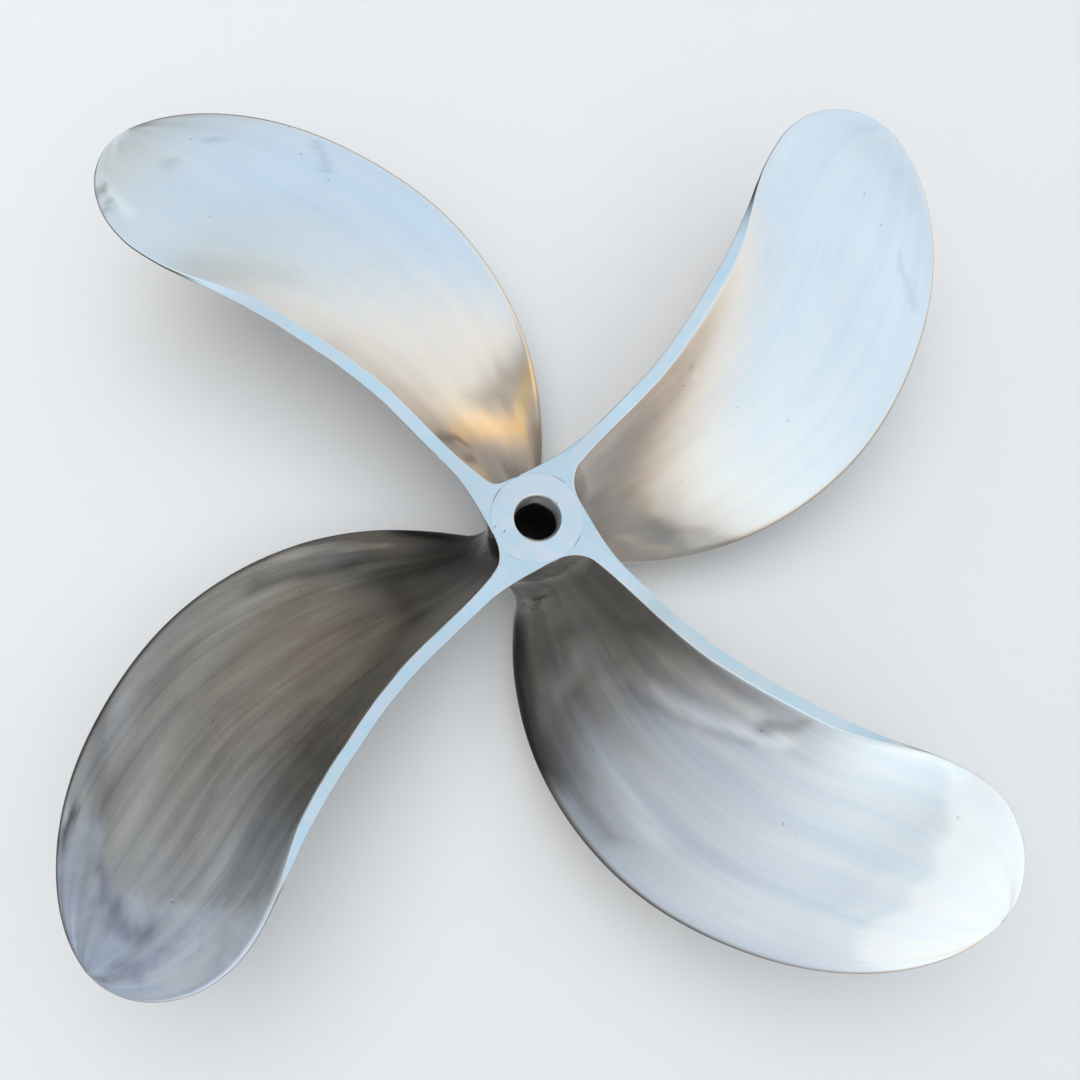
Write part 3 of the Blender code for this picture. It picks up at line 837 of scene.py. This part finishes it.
def steel(name, roughness, streaks=1.0, mottle=1.0, pits=1.0, seed=0.0, lean=0.0):
    """Hand-ground stainless steel. Grinding marks run along the blade, and level ground faces are plainer.

    'tint' multiplies its colour, and 'tip' is 1 where the tip has its own, more mottled finish. The marks
    lean across the chord by 'lean' for each tip radius outwards.
    """
    material, wires, shader = new_material(name)
    shader.inputs["Metallic"].default_value = 1.0
    lay = wires.attribute("lay", "Vector")
    plain = wires.math("SUBTRACT", 1.0, wires.attribute("ground"))
    tip = wires.attribute("tip")
    tint = wires.attribute("tint", "Vector")
    place = wires.vector("ADD", wires.node("ShaderNodeTexCoord").outputs["Object"], (seed, 0.3 * seed, 0.0))

    split = wires.node("ShaderNodeSeparateXYZ")
    wires.put(split.inputs[0], lay)
    join = wires.node("ShaderNodeCombineXYZ")
    wires.put(join.inputs[0], split.outputs[0])
    wires.put(join.inputs[1], wires.math("MULTIPLY_ADD", split.outputs[0], -lean, split.outputs[1]))
    wires.put(join.inputs[2], split.outputs[2])
    marked = join.outputs[0]
    bands, long_marks, fine_marks = [
        wires.noise(wires.vector("MULTIPLY", marked, scale), 1.0, *settings)
        for scale, settings in (BANDS, LONG_MARKS, FINE_MARKS)
    ]
    cloud = wires.noise(place, *CLOUD)
    blotch = wires.noise(place, *BLOTCH)
    pit = wires.spots(place, *PIT)
    lengthwise = wires.math("MULTIPLY", plain, wires.math("MULTIPLY_ADD", tip, -TIP_MARKS_LOST, 1.0))

    def centred(value):
        return wires.math("SUBTRACT", value, 0.5)

    def added(value, amount, total):
        return wires.math("MULTIPLY_ADD", value, amount, total)

    marks = added(centred(long_marks), LONG_MARKS_SHARE, centred(bands))
    marks = wires.math("MULTIPLY", marks, lengthwise)
    blotches = wires.math("MULTIPLY_ADD", tip, BLOTCH_LEVEL[1], BLOTCH_LEVEL[0])
    blotches = wires.math("MULTIPLY", centred(blotch), blotches)
    shade = added(marks, IN_COLOR["marks"] * streaks, 1.0)
    shade = added(centred(cloud), IN_COLOR["cloud"] * mottle, shade)
    shade = added(blotches, IN_COLOR["blotch"] * mottle, shade)
    shade = added(centred(fine_marks), IN_COLOR["fine"] * streaks, shade)
    apart = min(1.0, streaks)
    cool, warm = [
        (*[channel * (1 + by * apart) for channel, by in zip(STEEL, leans)], 1.0)
        for leans in (COOL_LEAN, WARM_LEAN)
    ]
    tone = wires.mix(wires.range(bands, 0.35, 0.65, 0.0, 1.0), cool, warm)
    tone = wires.mix(wires.math("MULTIPLY", pit, IN_COLOR["pits"] * pits), tone, DARK_SOIL)
    uneven = wires.range(wires.noise(place, *PATCH), *PATCH_RANGE, 0.0, 1.0)
    patchy = wires.vector("MULTIPLY", tone, wires.mix(uneven, *PATCH_TONES))
    tone = wires.mix(wires.attribute("ground"), tone, patchy)
    tone = wires.vector("MULTIPLY", tone, tint)
    wires.put(shader.inputs["Base Color"], wires.scaled(tone, shade))

    rough = added(centred(cloud), IN_ROUGHNESS["cloud"] * mottle, roughness)
    rough = added(marks, IN_ROUGHNESS["marks"] * streaks, rough)
    rough = added(blotches, IN_ROUGHNESS["blotch"], rough)
    rough = added(tip, IN_ROUGHNESS["tip"], rough)
    rough = wires.math("MULTIPLY_ADD", plain, IN_ROUGHNESS["plain"], rough, clamp=True)
    wires.put(shader.inputs["Roughness"], rough)

    height = wires.math("MULTIPLY", marks, IN_HEIGHT["marks"] * streaks)
    height = added(fine_marks, IN_HEIGHT["fine"] * streaks, height)
    height = added(wires.math("MULTIPLY", blotches, tip), IN_HEIGHT["blotch"], height)
    height = added(pit, IN_HEIGHT["pits"] * pits, height)
    bump = wires.node("ShaderNodeBump")
    bump.inputs["Strength"].default_value = BUMP_STRENGTH
    bump.inputs["Distance"].default_value = BUMP_DISTANCE
    wires.put(bump.inputs["Height"], height)
    wires.put(shader.inputs["Normal"], bump.outputs[0])
    return material


# The bore, by share of its depth: a dull wall near the mouth, and below a ragged line a black that is painted
# shade deep in the bore
DULL_WALL = (0.66, 0.67, 0.67, 1.0)
DULL_FROM = (0.0, 0.06)
BORE_SHADE_COLOR = (0.008, 0.0075, 0.007, 1.0)
BORE_SHADE_FROM = (0.13, 0.19)
BORE_SHADE_ROUGHER = 0.7
RAGGED_SCALE = 260.0
RAGGED_BY = 0.10
LESS_METALLIC_FROM = (0.0, 0.02)
LEAST_METALLIC = 0.45


def turned_steel():
    """The boss's own finish: a plain turned steel, and a bore that is duller near the mouth with painted
    black shade deeper in.
    """
    material = steel("turned_steel", 0.32, 0.0, 1.4, 0.8, 4.0)
    wires = Wires(material.node_tree)
    shader = material.node_tree.nodes["Principled BSDF"]
    depth = wires.attribute("bored")
    place = wires.node("ShaderNodeTexCoord").outputs["Object"]
    uneven = wires.math("SUBTRACT", wires.noise(place, RAGGED_SCALE, 3.0), 0.5)
    ragged = wires.math("MULTIPLY_ADD", uneven, RAGGED_BY, depth)
    # Painted shade: black deep in the bore below a ragged line
    bore_shade = wires.range(ragged, *BORE_SHADE_FROM, 0.0, 1.0)
    base = shader.inputs["Base Color"].links[0].from_socket
    dull = wires.mix(wires.range(depth, *DULL_FROM, 0.0, 1.0), base, DULL_WALL)
    wires.put(shader.inputs["Base Color"], wires.mix(bore_shade, dull, BORE_SHADE_COLOR))
    rough = shader.inputs["Roughness"].links[0].from_socket
    rough = wires.math("MULTIPLY_ADD", bore_shade, BORE_SHADE_ROUGHER, rough, clamp=True)
    wires.put(shader.inputs["Roughness"], rough)
    wires.put(shader.inputs["Metallic"], wires.range(depth, *LESS_METALLIC_FROM, 1.0, LEAST_METALLIC))
    return material


# Light and stage


# Soft surroundings, as steps out from the overhead light to below the horizon. The first number is the
# step's angle from straight up as a share of the overhead light's reach, and the colour is its brightness
SURROUNDINGS_REACH = 3.5
BRIGHT_SIDE = [
    (0.00, (0.80, 1.00, 1.16)),
    (0.45, (0.86, 1.03, 1.19)),
    (0.75, (0.81, 0.97, 1.12)),
    (0.90, (1.10, 1.08, 1.04)),
    (1.00, (1.06, 1.03, 0.98)),
    (1.15, (1.04, 0.97, 0.88)),
    (1.35, (0.78, 0.64, 0.50)),
    (1.60, (0.44, 0.37, 0.32)),
    (2.00, (0.38, 0.35, 0.33)),
    (2.60, (0.55, 0.53, 0.51)),
    (3.40, (0.55, 0.54, 0.53)),
]
DARK_SIDE = [
    (0.00, (1.30, 1.48, 1.60)),
    (0.30, (0.93, 1.05, 1.16)),
    (0.45, (0.73, 0.80, 0.90)),
    (0.75, (0.51, 0.55, 0.60)),
    (0.90, (0.285, 0.29, 0.315)),
    (1.00, (0.27, 0.265, 0.255)),
    (1.15, (0.156, 0.147, 0.134)),
    (1.35, (0.10, 0.094, 0.085)),
    (1.60, (0.088, 0.086, 0.078)),
    (2.00, (0.075, 0.075, 0.070)),
    (2.60, (0.15, 0.145, 0.14)),
    (3.40, (0.45, 0.44, 0.43)),
]
# The overhead light's reach in degrees, and how it varies once and twice round the shaft: towards which
# angle, and by how much
REACH = 52.1
REACH_ONCE = (27, 6.2)
REACH_TWICE = (47, 9.5)
BRIGHT_TOWARDS = -15.7  # angle round the shaft of the bright side's middle
SIDES_PART = 3.5  # how abruptly the bright side gives way to the dark one
# Local glows: angle from straight up, angle round the shaft, width in degrees, and what each adds
GLOWS = [
    (31, -72, 16, (0.30, 0.30, 0.25)),
    (24, -104, 10, (0.26, 0.24, 0.20)),
    (38, 156, 10, (0.10, 0.20, 0.34)),
    (52, 84, 10, (0.18, 0.25, 0.25)),
    (59, 108, 10, (0.14, 0.11, 0.08)),
    (61, 70, 9, (0.26, 0.24, 0.20)),
    (74, 91, 7, (0.42, 0.35, 0.28)),
    (66, 15, 11, (0.07, 0.02, -0.05)),
    (78, 18, 8, (0.34, 0.27, 0.17)),
    (87, 33, 9, (0.66, 0.51, 0.32)),
    (86, -171, 15, (0.055, 0.054, 0.050)),
    (50, -84, 8, (-0.36, -0.38, -0.40)),
]


def surroundings():
    """World light by direction: a soft overhead sky, warm to one side and dim to the other."""
    world = bpy.data.worlds.new("surroundings")
    bpy.context.scene.world = world
    world.use_nodes = True
    wires = Wires(world.node_tree)
    direction = wires.vector("NORMALIZE", wires.node("ShaderNodeTexCoord").outputs["Generated"])
    split = wires.node("ShaderNodeSeparateXYZ")
    wires.put(split.inputs[0], direction)
    x, y, z = split.outputs
    down = wires.math("MULTIPLY", wires.math("ARCCOSINE", z), 180 / math.pi)
    round_angle = wires.math("ARCTAN2", y, x)

    def lobe(order, towards):
        shifted = wires.math("SUBTRACT", round_angle, math.radians(towards))
        return wires.math("COSINE", wires.math("MULTIPLY", shifted, float(order)))

    reach = wires.math("MULTIPLY_ADD", lobe(1, REACH_ONCE[0]), REACH_ONCE[1], REACH)
    reach = wires.math("MULTIPLY_ADD", lobe(2, REACH_TWICE[0]), REACH_TWICE[1], reach)
    step = wires.math("DIVIDE", wires.math("DIVIDE", down, reach), SURROUNDINGS_REACH)
    bright = wires.ramp(step, [(place / SURROUNDINGS_REACH, color) for place, color in BRIGHT_SIDE])
    dark = wires.ramp(step, [(place / SURROUNDINGS_REACH, color) for place, color in DARK_SIDE])
    lean = wires.math("MULTIPLY", lobe(1, BRIGHT_TOWARDS), SIDES_PART)
    share = wires.math("MULTIPLY_ADD", wires.math("TANH", lean), 0.5, 0.5)
    color = wires.mix(share, dark, bright)
    for away, around, width, added in GLOWS:
        level = math.sin(math.radians(away))
        middle = (
            level * math.cos(math.radians(around)),
            level * math.sin(math.radians(around)),
            math.cos(math.radians(away)),
        )
        off = wires.math("ARCCOSINE", wires.vector("DOT_PRODUCT", direction, middle, output=1))
        off = wires.math("DIVIDE", off, math.radians(width))
        share = wires.math("EXPONENT", wires.math("MULTIPLY", wires.math("MULTIPLY", off, off), -1.0))
        color = wires.vector("ADD", color, wires.scaled(added, share))
    background = world.node_tree.nodes["Background"]
    wires.put(background.inputs["Color"], color)
    background.inputs["Strength"].default_value = 1.0


# The floor's profile in metres, as distance out and height, and its two tones
FLOOR_RIM = [
    (0.02, 0.0), (0.6, 0.0), (1.6, 0.0), (2.2, 0.03), (2.7, 0.15), (3.1, 0.45), (3.3, 1.0), (3.35, 3.0)
]
FLOOR_DROP = 0.0002
FLOOR_TONES = ((0.83, 0.82, 0.81, 1), (0.87, 0.865, 0.86, 1))


def floor():
    """A pale floor that rises far off into a backdrop. The metal reflects the surroundings instead of it."""
    angles = 2 * math.pi * np.arange(FLOOR_STEPS) / FLOOR_STEPS
    points = np.array([[(r * math.cos(a), r * math.sin(a), z) for a in angles] for r, z in FLOOR_RIM])
    faces = grid_faces(len(FLOOR_RIM), FLOOR_STEPS) + [list(range(FLOOR_STEPS))]
    obj = make_piece("floor", points.reshape(-1, 3), faces)
    obj.location.z = -FLOOR_DROP
    obj.visible_glossy = False
    material, wires, shader = new_material("pale_floor")
    shader.inputs["Roughness"].default_value = 0.9
    place = wires.node("ShaderNodeTexCoord").outputs["Object"]
    cloud = wires.noise(place, 3.0, 3.0, 0.5)
    wires.put(shader.inputs["Base Color"], wires.mix(cloud, *FLOOR_TONES))
    obj.data.materials.append(material)


def fill_light():
    """A broad lamp overhead for the floor. It stays out of the metal's reflections."""
    lamp = bpy.data.lights.new("overhead_fill", "AREA")
    lamp.shape = "DISK"
    lamp.size = 2.4
    lamp.energy = 26.0
    lamp.color = (1.0, 0.97, 0.94)
    obj = bpy.data.objects.new("overhead_fill", lamp)
    obj.location = (-0.5, 0.5, 2.6)
    obj.rotation_euler = (Vector((0, 0, 0)) - obj.location).to_track_quat("-Z", "Y").to_euler()
    obj.visible_glossy = False
    bpy.context.scene.collection.objects.link(obj)


# The camera stands above the aft face, a little off the shaft's line
CAMERA_TURN = (14.25, -4.985)  # degrees about the image's across and up directions
CAMERA_PLACE = (0.00138, -0.00994, 0.52292)  # from the middle of the aft face, in the camera's own directions
LENS = 39.33
SENSOR = 36.0


def camera():
    data = bpy.data.cameras.new("camera")
    data.sensor_width = SENSOR
    data.lens = LENS
    data.clip_start = 0.01
    data.clip_end = 20.0
    obj = bpy.data.objects.new("camera", data)
    tilt = Vector((*[math.radians(angle) for angle in CAMERA_TURN], 0.0))
    turned = Matrix.Rotation(tilt.length, 4, tilt.normalized())
    aft_face = Matrix.Translation((0, 0, BOSS_LENGTH))
    obj.matrix_world = aft_face @ turned @ Matrix.Translation(CAMERA_PLACE)
    bpy.context.scene.collection.objects.link(obj)
    bpy.context.scene.camera = obj


# The scene


def finish_piece(obj, node, material):
    obj.data.materials.append(material)
    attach(obj, "root")
    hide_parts(node)


# Roughness, strengths of the grinding marks and of the mottling, and the marks' lean, blade by blade
FINISHES = {
    1: (0.30, 0.35, 0.6, 0.0),
    2: (0.30, 0.25, 0.6, 0.0),
    3: (0.31, 1.9, 1.1, 0.45),
    4: (0.30, 1.0, 0.8, 0.15),
}
BLADE_PITS = 0.8
# The beads' finish: how much rougher than the blade's, share of its marks, and their own mottling and pits
BEAD_ROUGHER = 0.03
BEAD_MARKS = 0.6
BEAD_MOTTLE = 1.5
BEAD_PITS = 1.5


def main():
    surroundings()
    floor()
    fill_light()
    camera()
    finish_piece(boss(), "hub_boss", turned_steel())
    for number, (roughness, streaks, mottle, lean) in FINISHES.items():
        name = f"polished_steel_{number}"
        blade_steel = steel(name, roughness, streaks, mottle, BLADE_PITS, float(number), lean)
        made = blade(number)
        finish_piece(made, f"blade_{number}", blade_steel)
        made.name = f"blade_{number}_finished"
        rough, marked = roughness + BEAD_ROUGHER, BEAD_MARKS * streaks
        bead_steel = steel(f"weld_steel_{number}", rough, marked, BEAD_MOTTLE, BEAD_PITS, 10.0 + number)
        for side, size in WELDS.items():
            bead = weld(number, side)
            node = f"blade_{number}_{size['word']}_weld"
            bead.name = node + "_dressed"
            finish_piece(bead, node, bead_steel)
    bpy.context.scene.view_settings.view_transform = "Standard"


main()
